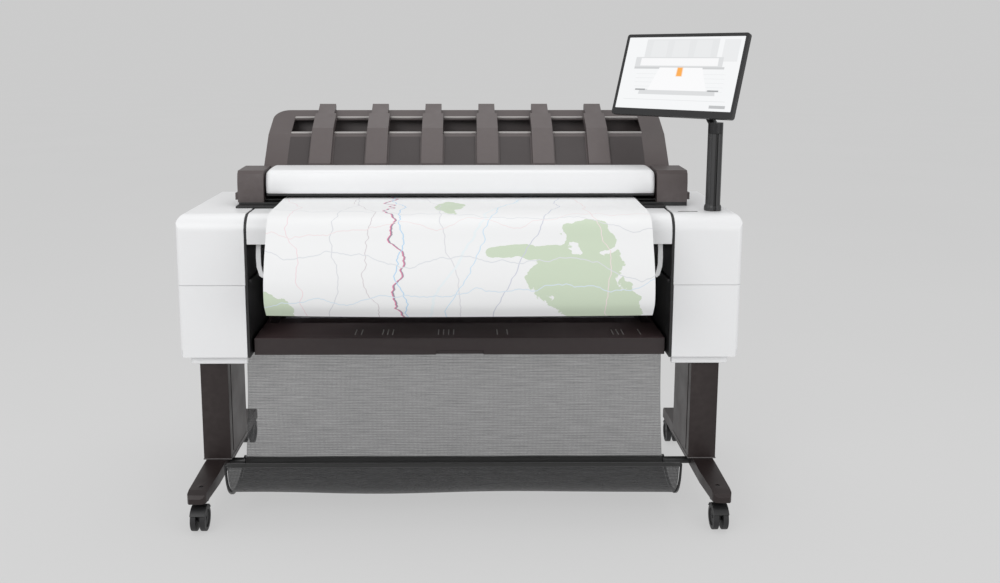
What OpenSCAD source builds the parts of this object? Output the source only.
// Large format printer with a scanner, on a wheeled stand with a paper basket and a tilting screen.
// Millimetres. X runs to the right, Y to the back and Z up from the floor.

/* [Printer body] */
// Overall width across the two side housings
body_w = 1403; // [1380:1:1430]
// Width of the open bay between the side housings
bay_w = 1064; // [1060:1:1068]
// Front face of the housings
front_y = -150; // [-156:1:-148]
// Rear face of the housings
rear_y = 290; // [284:1:300]
// Lowest edge of the housings
base_z = 387; // [387:1:388]
// Seam between the ink doors and the upper housings
seam_z = 574; // [560:1:590]
// Top of the housings
top_z = 750; // [750:1:750]
// Radius of the front top edge
brow_r = 42; // [30:1:50]
// Lower edge of the white front cover
fascia_z = 677; // [670:1:684]
// Thickness of the moulded covers
wall = 3; // [2:0.5:4]

/* [Paper] */
// Width of the paper
paper_w = 914; // [594:1:914]
// Radius of the paper roll
roll_r = 62; // [30:1:64]

/* [Scanner and stacker] */
// Left edge of the scanner lid
lid_left = -506; // [-506:1:-500]
// Right edge of the scanner lid
lid_right = 510; // [504:1:510]
// Left edge of the stacker
stacker_left = -532; // [-540:1:-530]
// Right edge of the stacker
stacker_right = 570; // [560:1:575]
// Number of stacker ribs
rib_count = 6; // [2:2:6]
// Distance between stacker ribs
rib_pitch = 152; // [120:1:152]
// Width of a stacker rib
rib_w = 58; // [30:1:60]

/* [Screen] */
// Turn of the screen to the left
screen_yaw = 45; // [30:1:50]
// Backward tilt of the screen
screen_tilt = 18.4; // [15:0.1:25]
// Width of the lit area
screen_w = 344; // [320:1:348]
// Height of the lit area
screen_h = 194; // [180:1:198]
// Radius of the screen post
post_r = 18.5; // [16:0.5:20]

/* [Stand] */
// Distance of each leg from the middle
leg_x = 629; // [626:1:632]
// Upper face of the feet
foot_top = 106; // [104:1:108]
// Radius of the caster wheels
wheel_r = 30; // [28:1:30]
// Radius of the cross brace
brace_r = 9; // [7:0.5:9]

/* [Basket] */
// Middle of the basket
basket_x = -15; // [-15:1:0]
// Half of the width of the basket cloth
basket_half = 545; // [500:1:545]
// Thickness of the basket cloth
cloth_t = 1.6; // [1.2:0.1:2]

/* [Hidden] */
$fn = 64;

white = [0.90, 0.91, 0.92];
brown = [0.36, 0.33, 0.33];
dark = [0.20, 0.18, 0.18];
black = [0.07, 0.07, 0.07];
steel = [0.72, 0.73, 0.75];

// Housings and bay
half_w = body_w / 2;
half_bay = bay_w / 2;
bay_wall_t = 6;
bay_in = half_bay - bay_wall_t;
edge_r = 14;
skirt_z = 367;
skirt_in = 562;
pan_z = 379;
pan_front = -20;
door_back = -132;
door_gap = 1;
hinge_y = -141;
hinge_z = 394;

// Roll drawer
drawer_half = 519;
drawer_z = 389;
drawer_top = 432;
drawer_front = -130;
drawer_back = 210;
tray_back = 16;
drawer_wall = 4;
roll_y = 130;
roll_z = 500;
journal_r = 12;
fit = 0.05;

// Print mechanism
feed_y = 120;
feed_z = 640;
feed_r = 15;
pinch_r = 9;
pinch_z = feed_z + feed_r + pinch_r + 0.35;
rail_y = 60;
rail_z = 725;
rail_r = 8;
belt_x = 498;
belt_z = 722;
belt_y = 104;
belt_w = 6;
pulley_r = 10;
beam_z = 690;
arm_pin_y = -125;
arm_pin_z = 684;

// Scanner
base_top = 760;
scan_back = 118;
lip_front = -37;
lid_z = 782;
cap_left = -577;
cap_right = 593;
base_left = -575;
lid_pin_y = 100;
lid_pin_z = 831;
scan_roller_r = 5.3;
scan_roller_z = 764;
scan_roller_y = [22, 92];

// Stacker profile: foot, crease and top of the ramp
ramp_foot = [120, 833];
ramp_crease = [203, 921];
ramp_top = [323, 982];
window_y = [210, 281];
ramp_corner = 42;
window_edge = 46;

// Screen: the tilt pin lies behind the middle of the lit area
post_x = 641;
post_y = -75;
post_top = 944.7;
head_top = 972;
tilt_pin = [590, 40, 1078.9];
screen_depth = 45;
bezel = 9;
chin = 18;

// Stand
leg_front = -120;
leg_back = 67;
foot_z = 75;
foot_front = -315;
foot_back = 260;
brace_y = -82;
brace_z = 86;
caster_trail = 20;
wheel_in = 5;
wheel_out = 18;
front_swivel_y = -272;
rear_swivel_y = 240;
stem_r = 5;
hanger_y = -34;
hanger_z = 381;
basket_rod_y = -290;
basket_rod_z = 163;
strip_w = 4;

// ---- Helpers ----

// Points of an arc about (cx, cy), with radii rx and ry
function ellipse_arc(cx, cy, rx, ry, a0, a1, n = 8) =
    [for (i = [0:n]) let (a = a0 + (a1 - a0) * i / n) [cx + rx * cos(a), cy + ry * sin(a)]];

function arc(cx, cy, r, a0, a1, n = 8) = ellipse_arc(cx, cy, r, r, a0, a1, n);

// One point of a smooth curve through four neighbouring points
function smooth(p0, p1, p2, p3, t) =
    0.5 * (2 * p1 + (p2 - p0) * t + (2 * p0 - 5 * p1 + 4 * p2 - p3) * t * t
        + (3 * p1 - p0 - 3 * p2 + p3) * t * t * t);

// A smooth curve through all the points, with n steps between neighbours
function smooth_path(p, n = 3) = let (last = len(p) - 1) concat(
    [for (i = [0:last - 1], k = [0:n - 1])
        smooth(p[max(i - 1, 0)], p[i], p[i + 1], p[min(i + 2, last)], k / n)],
    [p[last]]);

// Direction across a path at point i
function across(p, i) =
    let (a = p[max(i - 1, 0)], b = p[min(i + 1, len(p) - 1)], d = b - a) [-d[1], d[0]] / norm(d);

// Outline of a band of the given thickness along a path
function band(p, t) = concat(
    [for (i = [0:len(p) - 1]) p[i] + across(p, i) * t / 2],
    [for (i = [len(p) - 1:-1:0]) p[i] - across(p, i) * t / 2]);

// Extrusion of a [Y, Z] outline along X
module along_x(x0, x1, outline) {
    translate([x0, 0, 0]) rotate([90, 0, 90]) linear_extrude(height = x1 - x0) polygon(outline);
}

// Extrusion of an [X, Z] outline along Y
module along_y(y0, y1, outline) {
    translate([0, y1, 0]) rotate([90, 0, 0]) linear_extrude(height = y1 - y0) polygon(outline);
}

// Extrusion of an [X, Y] outline along Z
module along_z(z0, z1, outline) {
    translate([0, 0, z0]) linear_extrude(height = z1 - z0) polygon(outline);
}

// Box between the given limits on each axis
module block(x, y, z) {
    translate([x[0], y[0], z[0]]) cube([x[1] - x[0], y[1] - y[0], z[1] - z[0]]);
}

module rod_x(x0, x1, y, z, r) {
    translate([x0, y, z]) rotate([0, 90, 0]) cylinder(r = r, h = x1 - x0);
}

module rod_y(y0, y1, x, z, r) {
    translate([x, y1, z]) rotate([90, 0, 0]) cylinder(r = r, h = y1 - y0);
}

module rod_z(z0, z1, x, y, r) {
    translate([x, y, z0]) cylinder(r = r, h = z1 - z0);
}

module to_left() {
    mirror([1, 0, 0]) children();
}

// ---- Stand ----

module leg() {
    plate = 8;
    difference() {
        block([leg_x - 38, leg_x + 32], [leg_front, leg_back], [foot_top, skirt_z]);
        block([leg_x - 35, leg_x + 29], [leg_front + 3, leg_back - 3], [foot_top + plate, skirt_z + 1]);
        // decorative groove in the inner face
        block([leg_x - 39, leg_x - 36.5], [leg_front + 24, leg_front + 32], [foot_top + 14, skirt_z + 1]);
        for (y = [-80, 30]) rod_z(foot_top - 1, foot_top + plate + 1, leg_x, y, 4.1);
    }
}

module foot_shape() {
    side = [
        [foot_front, foot_z], [foot_back, foot_z], [foot_back, foot_top - 8], [foot_back - 8, foot_top],
        [-150, foot_top], [foot_front + 26, foot_top - 5], [foot_front + 6, foot_top - 10],
        [foot_front, foot_top - 18]
    ];
    plan = concat(
        arc(leg_x - 6, foot_front + 14, 14, 180, 270), arc(leg_x + 8, foot_front + 14, 18, 270, 360),
        [[leg_x + 26, -220], [leg_x + 26, foot_back], [leg_x - 26, foot_back], [leg_x - 26, -200]]);
    intersection() {
        along_x(leg_x - 30, leg_x + 30, side);
        along_z(foot_z - 1, foot_top + 1, plan);
    }
}

module foot() {
    difference() {
        foot_shape();
        block([leg_x - 18, leg_x + 18], [-230, 200], [foot_z - 1, foot_top - 8]);
        for (y = [-80, 30]) rod_z(foot_top - 9, foot_top + 1, leg_x, y, 4.1);
        for (y = [front_swivel_y, rear_swivel_y]) rod_z(foot_z - 1, foot_top - 4, leg_x, y, stem_r + fit);
    }
}

module left_leg() { color(dark) to_left() leg(); }
module right_leg() { color(dark) leg(); }
module left_foot() { color(dark) to_left() foot(); }
module right_foot() { color(dark) foot(); }

module cross_brace() {
    color(black) rod_x(-leg_x + 26, leg_x - 26, brace_y, brace_z, brace_r);
}

module stand_screws() {
    color(steel) for (x = [-leg_x, leg_x], y = [-80, 30]) {
        difference() {
            union() {
                rod_z(foot_top - 14, foot_top - 8, x, y, 6.5);
                rod_z(foot_top - 9, foot_top + 12, x, y, 4);
            }
            translate([x, y, foot_top - 15]) cylinder(r = 3.4, h = 4, $fn = 6);
        }
    }
}

// Swivel fork of a twin wheel caster, with its stem on the Z axis
module caster_yoke() {
    axle_y = caster_trail;
    hood = concat(
        arc(axle_y, wheel_r, wheel_r + 4, 30, 150, 12),
        arc(axle_y, wheel_r, wheel_r + 1.5, 150, 30, 12));
    web = [
        [-13, 67], [13, 67], [axle_y + 12, 40], [axle_y + 8, 24], [axle_y - 4, 20], [axle_y - 12, 28],
        [-13, 56]
    ];
    rod_z(70, foot_top - 6, 0, 0, stem_r);
    rod_z(66, foot_z - 0.4, 0, 0, 17);
    difference() {
        union() {
            along_x(-4, 4, web);
            along_x(-wheel_out - 0.5, wheel_out + 0.5, hood);
        }
        rod_x(-5, 5, axle_y, wheel_r, 4 + fit);
    }
}

module caster_wheels() {
    dish_in = wheel_out - 3;
    rod_x(-wheel_out + 1, wheel_out - 1, caster_trail, wheel_r, 4);
    for (side = [-1, 1]) {
        difference() {
            rod_x(min(side * wheel_in, side * wheel_out), max(side * wheel_in, side * wheel_out),
                caster_trail, wheel_r, wheel_r);
            // dished outer face
            rod_x(min(side * dish_in, side * (wheel_out + 1)), max(side * dish_in, side * (wheel_out + 1)),
                caster_trail, wheel_r, wheel_r - 9);
        }
    }
}

module front_left() { translate([-leg_x, front_swivel_y, 0]) mirror([0, 1, 0]) children(); }
module front_right() { translate([leg_x, front_swivel_y, 0]) mirror([0, 1, 0]) children(); }
module rear_left() { translate([-leg_x, rear_swivel_y, 0]) children(); }
module rear_right() { translate([leg_x, rear_swivel_y, 0]) children(); }

module front_left_caster_yoke() { color(black) front_left() caster_yoke(); }
module front_right_caster_yoke() { color(black) front_right() caster_yoke(); }
module rear_left_caster_yoke() { color(black) rear_left() caster_yoke(); }
module rear_right_caster_yoke() { color(black) rear_right() caster_yoke(); }
module front_left_caster_wheels() { color(dark) front_left() caster_wheels(); }
module front_right_caster_wheels() { color(dark) front_right() caster_wheels(); }
module rear_left_caster_wheels() { color(dark) rear_left() caster_wheels(); }
module rear_right_caster_wheels() { color(dark) rear_right() caster_wheels(); }

// ---- Basket ----

basket_x0 = basket_x - basket_half;
basket_x1 = basket_x + basket_half;
sleeve_r = brace_r + 2.4;

// Path of the trough in [Y, Z], from the brace down and up to the front rod
trough_path = smooth_path([
    [brace_y - 14, brace_z - 4], [-135, 66], [-180, 58], [-225, 64], [-262, 88], [-282, 122],
    [basket_rod_y + 1, basket_rod_z - 6]
]);

module basket_back_sheet() {
    path = [[hanger_y, hanger_z - 5.4], [hanger_y - 10, 240], [brace_y, brace_z + brace_r + 1]];
    color(dark) difference() {
        union() {
            along_x(basket_x0, basket_x1, band(path, cloth_t));
            rod_x(basket_x0, basket_x1, brace_y, brace_z, sleeve_r);
            rod_x(basket_x0, basket_x1, hanger_y, hanger_z, 6);
        }
        rod_x(basket_x0 - 1, basket_x1 + 1, brace_y, brace_z, brace_r + 0.3);
        rod_x(basket_x0 - 1, basket_x1 + 1, hanger_y, hanger_z, 4.2);
    }
}

module basket_trough() {
    color(dark) along_x(basket_x0, basket_x1, band(trough_path, cloth_t));
}

module basket_frame() {
    strip = band(concat([[brace_y - 9, brace_z - 6]], trough_path, [[basket_rod_y, basket_rod_z + 2]]), 8);
    color(black) {
        for (x = [basket_x0 - strip_w - 2, basket_x1 + 2]) {
            difference() {
                union() {
                    along_x(x, x + strip_w, strip);
                    rod_x(x, x + strip_w, brace_y, brace_z, brace_r + 6);
                }
                rod_x(x - 1, x + strip_w + 1, brace_y, brace_z, brace_r + fit);
            }
        }
        rod_x(basket_x0 - 3, basket_x1 + 3, basket_rod_y, basket_rod_z, 4);
    }
}

module basket_hanger_rod() {
    color(steel) rod_x(-skirt_in, skirt_in, hanger_y, hanger_z, 4);
}

// ---- Printer body ----

module skirt() {
    r = 12;
    x1 = half_w - 20;
    y0 = front_y + 15;
    y1 = rear_y - 20;
    plan = concat(
        [[half_bay + 4, y0]], arc(x1 - r, y0 + r, r, -90, 0),
        arc(x1 - r, y1 - r, r, 0, 90), [[skirt_in, y1], [skirt_in, y0 + 16], [half_bay + 4, y0 + 16]]);
    along_z(skirt_z, base_z, plan);
}

module base_skirts() {
    color(white) {
        skirt();
        to_left() skirt();
    }
}

// Front beam, side rails, rear box beam and floor pan, with the pins of the guide arms and pulleys
module chassis() {
    rail_w = 12;
    color(steel) {
        difference() {
            union() {
                block([-skirt_in, skirt_in], [pan_front, rear_y], [pan_z, base_z]);
                block([-bay_in, bay_in], [246, rear_y], [base_z, 740]);
            }
            block([-bay_in - 1, bay_in + 1], [249, rear_y - 3], [base_z + 3, 737]);
        }
        block([-bay_in, bay_in], [front_y + wall, -120], [beam_z, beam_z + 16]);
        for (x = [-bay_in, bay_in - rail_w]) block([x, x + rail_w], [-121, 247], [beam_z + 2, beam_z + 14]);
        for (side = [-1, 1]) chassis_pins(side);
    }
}

module chassis_pins(side) {
    for (x = [488, 511]) {
        block([side * x - 2, side * x + 2], [arm_pin_y - 5, arm_pin_y + 5], [arm_pin_z - 5, beam_z + 1]);
    }
    rod_x(min(side * 488, side * 511), max(side * 488, side * 511), arm_pin_y, arm_pin_z, 3);
    block([side * 508 - 18, side * 508 + 18], [114, 118], [beam_z + 2, belt_z + 10]);
    rod_y(belt_y - 1, 115, side * belt_x, belt_z, 3);
}

// Side wall of the roll bay, with its bearings and the runner of the drawer
module bay_wall() {
    outline = concat(
        [[front_y + 2, base_z]], arc(front_y + brow_r, top_z - brow_r, brow_r - 2, 180, 90),
        [[lip_front, top_z - 2], [lip_front, top_z], [rear_y, top_z], [rear_y, base_z]]);
    difference() {
        union() {
            along_x(bay_in, half_bay, outline);
            block([drawer_half, bay_in + 1], [front_y + 12, 40], [580, 586]);
            block([505, bay_in + 1], [-100, 240], [base_z, drawer_z - 0.3]);
        }
        rod_x(bay_in - 1, half_bay + 1, feed_y, feed_z, 6 + fit);
        rod_x(bay_in - 1, half_bay + 1, feed_y, pinch_z, 4 + fit);
    }
}

module left_bay_wall() { color(black) to_left() bay_wall(); }
module right_bay_wall() { color(black) bay_wall(); }

// Solid of a side housing drawn in by t on every side but the bay
module housing_solid(t) {
    inner = half_bay - (t > 0 ? 1 : 0);
    side = concat(
        [[front_y + t, base_z + t]],
        arc(front_y + brow_r, top_z - brow_r, brow_r - t, 180, 90),
        arc(rear_y - edge_r, top_z - edge_r, edge_r - t, 90, 0),
        [[rear_y - t, base_z + t]]);
    face = concat(
        [[inner, base_z + t]],
        arc(half_w - 15, base_z + 15, 15 - t, -90, 0),
        ellipse_arc(half_w - 20, top_z - 35, 20 - t, 35 - t, 0, 90),
        [[inner, top_z - t]]);
    plan = concat(
        [[inner, front_y + t]],
        arc(half_w - edge_r, front_y + edge_r, edge_r - t, -90, 0),
        arc(half_w - edge_r, rear_y - edge_r, edge_r - t, 0, 90),
        [[inner, rear_y - t]]);
    intersection() {
        along_x(half_bay - 2, half_w, side);
        along_y(front_y, rear_y, face);
        along_z(base_z, top_z, plan);
    }
}

module housing() {
    difference() {
        housing_solid(0);
        housing_solid(wall);
        block([half_bay - 1, half_w + 1], [front_y - 1, door_back + 3], [base_z - 1, seam_z]);
    }
    // pin of the ink door, on two lugs
    for (x = [545, 685]) {
        along_x(x, x + 4, [
            [-106, base_z + 1], [-106, 400], [hinge_y, 398.5], [hinge_y - 4.5, hinge_z],
            [hinge_y, hinge_z - 2.3], [door_back + 3, hinge_z - 2.3], [door_back + 4, base_z + 1]
        ]);
    }
    rod_x(546, 688, hinge_y, hinge_z, 2.5);
}

module ink_door() {
    difference() {
        intersection() {
            housing_solid(0);
            block([half_bay + 1, half_w + 1], [front_y - 1, door_back], [base_z + 1.5, seam_z - door_gap]);
        }
        intersection() {
            housing_solid(wall);
            block([half_bay + 4, half_w], [front_y, 0], [base_z, seam_z - door_gap - wall]);
        }
        block([half_bay + 4, half_w - 5], [front_y + wall, 0], [base_z, base_z + 20]);
    }
    for (x = [552, 662]) {
        difference() {
            union() {
                rod_x(x, x + 20, hinge_y, hinge_z, 4.5);
                block([x, x + 20], [front_y + wall - 0.5, hinge_y], [hinge_z - 2.5, hinge_z + 4]);
            }
            rod_x(x - 1, x + 21, hinge_y, hinge_z, 2.5 + fit);
        }
    }
}

module left_housing() { color(white) to_left() housing(); }

module right_housing() {
    color(white) difference() {
        housing();
        // opening behind the connector panel
        block([560, 680], [rear_y - 10, rear_y + 1], [430, 560]);
    }
}

module left_ink_door() { color(white) to_left() ink_door(); }
module right_ink_door() { color(white) ink_door(); }

module ink_cartridges() {
    cartridge_w = 40;
    color(black) for (side = [-1, 1], i = [0:2]) {
        x = side * (574 + 46 * i);
        block([x - cartridge_w / 2, x + cartridge_w / 2], [-103, 60], [base_z + wall, 520]);
        block([x - 12, x + 12], [-112, -102], [478, 512]);
    }
}

module front_fascia() {
    outline = concat(
        [[front_y, fascia_z]], arc(front_y + brow_r, top_z - brow_r, brow_r, 180, 90), [[-40, top_z]],
        [[-40, top_z - wall]], arc(front_y + brow_r, top_z - brow_r, brow_r - wall, 90, 180),
        [[front_y + wall, fascia_z]]);
    color(white) along_x(-bay_in + 1, bay_in - 1, outline);
}

// Arm that keeps the sheet off the bay walls, bent towards the middle at its foot
module guide_arm() {
    arm = [
        [494, 688], [506, 688], [508, 640], [507, 616], [501, 594], [494, 588], [489, 592], [493, 606],
        [496, 622], [496, 660]
    ];
    difference() {
        union() {
            along_y(arm_pin_y - 3, arm_pin_y + 3, arm);
            rod_x(492, 507, arm_pin_y, arm_pin_z, 5.5);
        }
        rod_x(480, 515, arm_pin_y, arm_pin_z, 3 + fit);
    }
}

module left_guide_arm() { color(white) to_left() guide_arm(); }
module right_guide_arm() { color(white) guide_arm(); }

// ---- Roll drawer ----

module roll_drawer() {
    width = [-drawer_half, drawer_half];
    cheek = [
        [drawer_front, drawer_z], [drawer_back, drawer_z], [drawer_back, drawer_top], [170, drawer_top + 12],
        [152, 520], [108, 520], [90, drawer_top + 12], [60, drawer_top], [drawer_front, drawer_top]
    ];
    color(dark) difference() {
        union() {
            block(width, [drawer_front, drawer_front + 8], [drawer_z, drawer_top]);
            block(width, [drawer_front, tray_back], [drawer_top - drawer_wall, drawer_top]);
            block(width, [drawer_front, drawer_back], [drawer_z, drawer_z + drawer_wall]);
            for (x = [-drawer_half, drawer_half - 8]) along_x(x, x + 8, cheek);
        }
        rod_x(-drawer_half - 1, drawer_half + 1, roll_y, roll_z, journal_r + fit);
        // finger pull under the front edge
        block([-60, 60], [drawer_front - 1, drawer_front + 5], [drawer_z - 1, drawer_z + 10]);
    }
}

// Outline of a gear in the plane across its shaft
function gear(teeth, r_root, r_tip) = [for (i = [0:teeth - 1], k = [0:3])
    let (a = 360 / teeth * (i + [0, 0.3, 0.5, 0.8][k]), r = k < 2 ? r_root : r_tip) [r * cos(a), r * sin(a)]];

module roll_spindle() {
    half = paper_w / 2;
    color(black) {
        rod_x(-drawer_half + 1, drawer_half - 1, roll_y, roll_z, journal_r);
        rod_x(-half - 20, half + 20, roll_y, roll_z, 24);
        for (x = [-half - 12, half]) rod_x(x, x + 12, roll_y, roll_z, 44);
        translate([-505, roll_y, roll_z])
            rotate([0, 90, 0]) linear_extrude(height = 10) polygon(gear(36, 30, 34));
    }
}

module paper_roll() {
    half = paper_w / 2;
    color("white") difference() {
        rod_x(-half, half, roll_y, roll_z, roll_r);
        rod_x(-half - 1, half + 1, roll_y, roll_z, 24.3);
    }
}

// ---- Print mechanism ----

module print_platen() {
    color(black) difference() {
        block([-bay_in, 434], [-20, 100], [643, 653]);
        for (x = [-480:40:400]) block([x, x + 30], [20, 24], [651, 654]);
    }
}

module service_station() {
    color(dark) {
        block([434, bay_in], [20, 100], [636, 650]);
        for (x = [446, 470, 494]) block([x, x + 14], [30, 90], [649, 654.5]);
    }
}

module feed_roller() {
    color(dark) {
        rod_x(-half_bay + 1, half_bay - 1, feed_y, feed_z, 6);
        rod_x(-470, 470, feed_y, feed_z, feed_r);
    }
}

module pinch_rollers() {
    color(steel) {
        rod_x(-half_bay + 1, half_bay - 1, feed_y, pinch_z, 4);
        for (x = [-440:110:440]) rod_x(x - 20, x + 20, feed_y, pinch_z, pinch_r);
    }
}

module carriage_rail() {
    color(steel) rod_x(-bay_in, bay_in, rail_y, rail_z, rail_r);
}

module carriage() {
    color(black) difference() {
        union() {
            block([-60, 60], [20, 100], [662, 742]);
            block([-45, 45], [30, 90], [656, 663]);
            block([-15, 15], [99, 111], [698, belt_z - pulley_r - 1.9]);
        }
        rod_x(-61, 61, rail_y, rail_z, rail_r + fit);
    }
}

// Outline of a loop of radius r round both pulleys
function belt_loop(r) =
    concat(arc(belt_x, belt_z, r, -90, 90, 12), arc(-belt_x, belt_z, r, 90, 270, 12));

module carriage_belt() {
    color(black) difference() {
        along_y(belt_y, belt_y + belt_w, belt_loop(pulley_r + 1.6));
        along_y(belt_y - 1, belt_y + belt_w + 1, belt_loop(pulley_r + 0.3));
    }
}

module pulley(x) {
    difference() {
        rod_y(belt_y, belt_y + belt_w, x, belt_z, pulley_r);
        rod_y(belt_y - 1, belt_y + belt_w + 1, x, belt_z, 3 + fit);
    }
}

module left_pulley() { color(steel) pulley(-belt_x); }
module right_pulley() { color(steel) pulley(belt_x); }

// ---- Rear ----

module rear_panel() {
    color(brown) block([-half_w + 14, 530], [rear_y, rear_y + 3], [400, 740]);
}

switch_x = 651;
switch_z = 507;

module connector_panel() {
    color(dark) difference() {
        union() {
            block([536, 690], [rear_y, rear_y + 3], [400, 600]);
            block([switch_x - 15, switch_x + 15], [rear_y, rear_y + 6], [switch_z - 11, switch_z + 11]);
        }
        block([switch_x - 11, switch_x + 11], [rear_y - 1, rear_y + 7], [switch_z - 7.6, switch_z + 7.6]);
        rod_x(switch_x - 14, switch_x + 14, rear_y + 3, switch_z, 1.5 + fit);
    }
}

module power_switch() {
    y = rear_y + 3;
    rocker = [[y - 5, -5], [y + 4, -6.4], [y + 3, 0], [y + 5, 6.4], [y - 5, 5]];
    color(black) {
        along_x(switch_x - 10.4, switch_x + 10.4, [for (p = rocker) [p[0], switch_z + p[1]]]);
        rod_x(switch_x - 13.5, switch_x + 13.5, y, switch_z, 1.5);
    }
}

// Mains inlet with three pins, and two data sockets
module rear_sockets() {
    y = rear_y + 3;
    color(black) {
        difference() {
            block([580, 622], [y, y + 18], [440, 472]);
            block([586, 616], [y + 3, y + 19], [446, 466]);
        }
        for (pin = [[593, 453], [601, 459], [609, 453]]) {
            block([pin[0] - 1, pin[0] + 1], [y + 2, y + 14], [pin[1] - 2, pin[1] + 2]);
        }
        for (x = [580, 604]) {
            difference() {
                block([x, x + 18], [y, y + 12], [500, 517]);
                block([x + 2.5, x + 15.5], [y + 2, y + 13], [502.5, 513]);
            }
        }
    }
}

// ---- Paper ----

module print_sheet() {
    path = concat([[104, 770]], smooth_path([
        [-20, 770], [-104, 767], [-180, 765], [-232, 748], [-258, 704], [-284, 652], [-299, 604],
        [-297, 562], [-274, 530]
    ]));
    color("white") along_x(-paper_w / 2, paper_w / 2, band(path, 0.8));
}

// ---- Scanner ----

module scanner_base() {
    color(dark) difference() {
        union() {
            block([base_left, cap_right], [0, scan_back], [top_z, base_top]);
            block([base_left, 530], [lip_front, 1], [top_z, top_z + 6]);
        }
        for (y = scan_roller_y) block([-470, 470], [y - 7, y + 7], [base_top - 3, base_top + 1]);
    }
}

// End cap with the bearings of the lid and of both scan rollers; inner is the face beside the lid
module scanner_cap(inner, outer) {
    x0 = min(inner, outer);
    x1 = max(inner, outer);
    profile = [
        [0, base_top], [0, 812], [4, 834], [12, 842], [scan_back - 8, 844], [scan_back, 836],
        [scan_back, base_top]
    ];
    foot_x = outer > 0 ? [outer - 1, outer + 8] : [outer - 8, outer + 1];
    difference() {
        union() {
            along_x(x0, x1, profile);
            block(foot_x, [8, 60], [766, 784]);
        }
        rod_x(inner - 12, inner + 12, lid_pin_y, lid_pin_z, 4 + fit);
        for (y = scan_roller_y) rod_x(inner - 10, inner + 10, y, scan_roller_z, 2.5 + fit);
    }
}

module scanner_left_cap() { color(brown) scanner_cap(lid_left - 4, cap_left); }
module scanner_right_cap() { color(brown) scanner_cap(lid_right + 4, cap_right); }

function lid_outline(t) = [
    [4 + t, lid_z - (t > 0 ? 1 : 0)], [t, 809], [5 + t, 836 - t / 2], [14 + t, 842.5 - t],
    [100 - t, 846 - t], [108 - t, 841 - t], [108 - t, lid_z - (t > 0 ? 1 : 0)]
];

module scanner_lid() {
    color(white) {
        difference() {
            along_x(lid_left, lid_right, lid_outline(0));
            along_x(lid_left + wall, lid_right - wall, lid_outline(wall));
        }
        rod_x(lid_left - 10, lid_left + 1, lid_pin_y, lid_pin_z, 4);
        rod_x(lid_right - 1, lid_right + 10, lid_pin_y, lid_pin_z, 4);
    }
}

// Frame under the lid, with five staggered image sensors above it and their glass bonded below
module scan_head() {
    color(black) {
        block([lid_left + 3, lid_right - 3], [5, 106], [lid_z - 6, lid_z]);
        for (i = [0:4]) {
            x = -450 + i * 178;
            y = i % 2 == 0 ? 24 : 62;
            block([x, x + 190], [y, y + 26], [lid_z - 1, lid_z + 18]);
        }
        block([-458, 458], [30, 84], [lid_z - 9, lid_z - 5]);
    }
}

module scan_roller(y) {
    rod_x(lid_left - 12, lid_right + 12, y, scan_roller_z, 2.5);
    for (x = [-420:120:420]) rod_x(x - 30, x + 30, y, scan_roller_z, scan_roller_r);
}

module front_scan_roller() { color(dark) scan_roller(scan_roller_y[0]); }
module rear_scan_roller() { color(dark) scan_roller(scan_roller_y[1]); }

// ---- Stacker ----

// Height of the ramp surface at a given Y
function ramp_z(y) = y < ramp_crease[0]
    ? ramp_foot[1] + (y - ramp_foot[0]) * (ramp_crease[1] - ramp_foot[1]) / (ramp_crease[0] - ramp_foot[0])
    : ramp_crease[1] + (y - ramp_crease[0]) * (ramp_top[1] - ramp_crease[1]) / (ramp_top[0] - ramp_crease[0]);

// Plan of the stacker drawn in by t, with rounded rear corners
function ramp_plan(t) = concat(
    [[stacker_left + t, ramp_foot[0] + t], [stacker_right - t, ramp_foot[0] + t]],
    arc(stacker_right - ramp_corner, ramp_top[0] - ramp_corner, ramp_corner - t, 0, 90),
    arc(stacker_left + ramp_corner, ramp_top[0] - ramp_corner, ramp_corner - t, 90, 180));

module stacker_ramp() {
    t = 4;
    outline = [
        [ramp_foot[0], top_z], ramp_foot, ramp_crease, ramp_top, [ramp_top[0], ramp_top[1] - 12],
        [rear_y, top_z]
    ];
    hollow = [
        [ramp_foot[0], top_z - 1], [ramp_foot[0], ramp_foot[1] - t],
        [ramp_crease[0] + 1, ramp_crease[1] - t],
        [ramp_top[0], ramp_top[1] - 7], [rear_y - t, top_z - 1]
    ];
    first = -rib_pitch * (rib_count - 1) / 2;
    edges = concat(
        [stacker_left + 16], [for (i = [0:rib_count - 1]) first + i * rib_pitch], [stacker_right - 16]);
    color(brown) difference() {
        intersection() {
            along_x(stacker_left, stacker_right, outline);
            along_z(top_z, ramp_top[1], ramp_plan(0));
        }
        intersection() {
            along_x(stacker_left, stacker_right, hollow);
            along_z(top_z - 1, ramp_top[1], ramp_plan(t));
        }
        for (i = [0:rib_count]) {
            x0 = edges[i] + (i == 0 ? window_edge : rib_w / 2);
            x1 = edges[i + 1] - (i == rib_count ? window_edge : rib_w / 2);
            block([x0, x1], window_y, [ramp_z(window_y[0]) - 40, ramp_top[1]]);
        }
    }
}

// Each rib has a wide lower part and a narrower upper end
module stacker_ribs() {
    bend = 268;
    lower = [
        [122, ramp_z(122)], [122, ramp_z(122) + 14], [ramp_crease[0] - 4, ramp_crease[1] + 18],
        [bend, ramp_z(bend) + 22], [bend, ramp_z(bend)], ramp_crease
    ];
    upper = [
        [bend - 1, ramp_z(bend - 1)], [bend - 1, ramp_z(bend) + 20], [ramp_top[0] - 8, ramp_top[1] + 18],
        [ramp_top[0], ramp_top[1] + 12], ramp_top
    ];
    color(brown) for (i = [0:rib_count - 1]) {
        x = (i - (rib_count - 1) / 2) * rib_pitch;
        along_x(x - rib_w / 2, x + rib_w / 2, lower);
        along_x(x - rib_w / 2 + 6, x + rib_w / 2 - 6, upper);
    }
}

// ---- Screen ----

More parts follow.
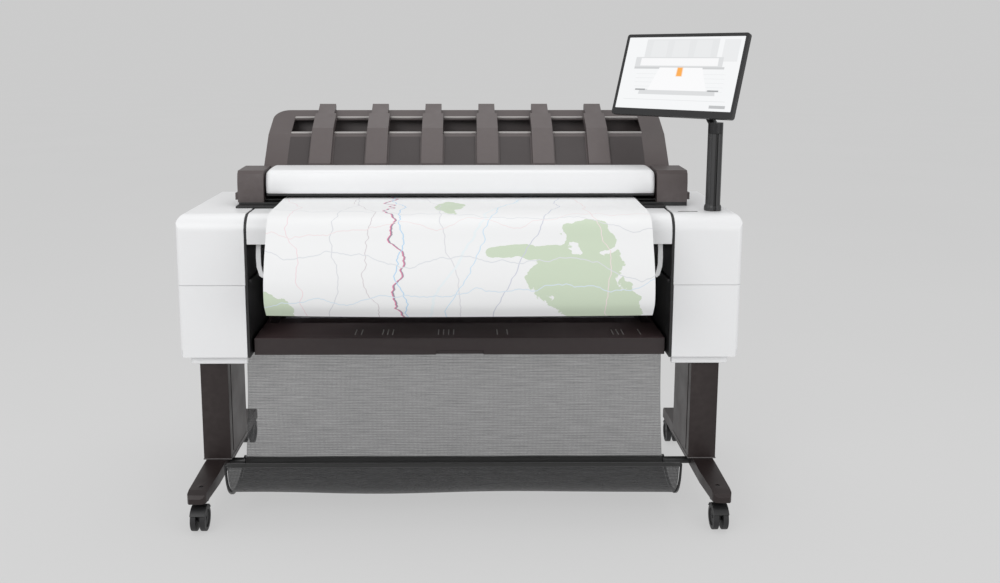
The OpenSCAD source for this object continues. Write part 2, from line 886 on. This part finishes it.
module display_post() {
    color(black) {
        rod_z(top_z, post_top, post_x, post_y, post_r);
        rod_z(top_z, top_z + 14, post_x, post_y, post_r + 3);
        rod_z(post_top - 1, post_top + 16, post_x, post_y, 10);
    }
}

// Local frame of the screen: origin on the tilt pin, screen facing -Y
module at_screen() {
    translate(tilt_pin) rotate([-screen_tilt, 0, -screen_yaw]) children();
}

module display_arm() {
    start = [post_x, post_y, 958];
    span = tilt_pin - start;
    color(black) difference() {
        union() {
            rod_z(post_top + 0.3, head_top, post_x, post_y, post_r);
            translate(start)
                rotate([0, acos(span[2] / norm(span)), atan2(span[1], span[0])])
                    cylinder(r1 = 11, r2 = 6, h = norm(span));
            at_screen() rod_x(-20, 20, 0, 0, 12);
            at_screen() rod_x(-27, 27, 0, 0, 4);
        }
        rod_z(post_top, post_top + 18, post_x, post_y, 10 + fit);
    }
}

module display_housing() {
    half = screen_w / 2 + bezel;
    low = -screen_h / 2 - chin;
    high = screen_h / 2 + bezel;
    face = -screen_depth;
    color(black) at_screen() difference() {
        union() {
            block([-half, half], [face, face + 12], [low, high]);
            block([-130, 130], [face + 11, face + 20], [-60, 70]);
            for (x = [-26, 20.5]) {
                block([x, x + 5.5], [face + 19, 0], [-10, 10]);
                rod_x(x, x + 5.5, 0, 0, 10);
            }
        }
        block([-screen_w / 2, screen_w / 2], [face - 1, face + 1.2], [-screen_h / 2, screen_h / 2]);
        rod_x(-28, 28, 0, 0, 4 + fit);
    }
}

module display_screen() {
    face = -screen_depth;
    color([0.92, 0.93, 0.94]) at_screen()
        block([-screen_w / 2, screen_w / 2], [face, face + 1.2], [-screen_h / 2, screen_h / 2]);
}

// ---- The nodes ----

left_leg();
right_leg();
left_foot();
right_foot();
cross_brace();
stand_screws();
front_left_caster_yoke();
front_right_caster_yoke();
rear_left_caster_yoke();
rear_right_caster_yoke();
front_left_caster_wheels();
front_right_caster_wheels();
rear_left_caster_wheels();
rear_right_caster_wheels();
basket_back_sheet();
basket_trough();
basket_frame();
basket_hanger_rod();
base_skirts();
chassis();
left_bay_wall();
right_bay_wall();
left_housing();
right_housing();
left_ink_door();
right_ink_door();
ink_cartridges();
front_fascia();
left_guide_arm();
right_guide_arm();
roll_drawer();
roll_spindle();
paper_roll();
print_platen();
feed_roller();
pinch_rollers();
carriage_rail();
carriage();
carriage_belt();
left_pulley();
right_pulley();
service_station();
rear_panel();
connector_panel();
rear_sockets();
power_switch();
print_sheet();
scanner_base();
scanner_left_cap();
scanner_right_cap();
scanner_lid();
scan_head();
front_scan_roller();
rear_scan_roller();
stacker_ramp();
stacker_ribs();
display_post();
display_arm();
display_housing();
display_screen();
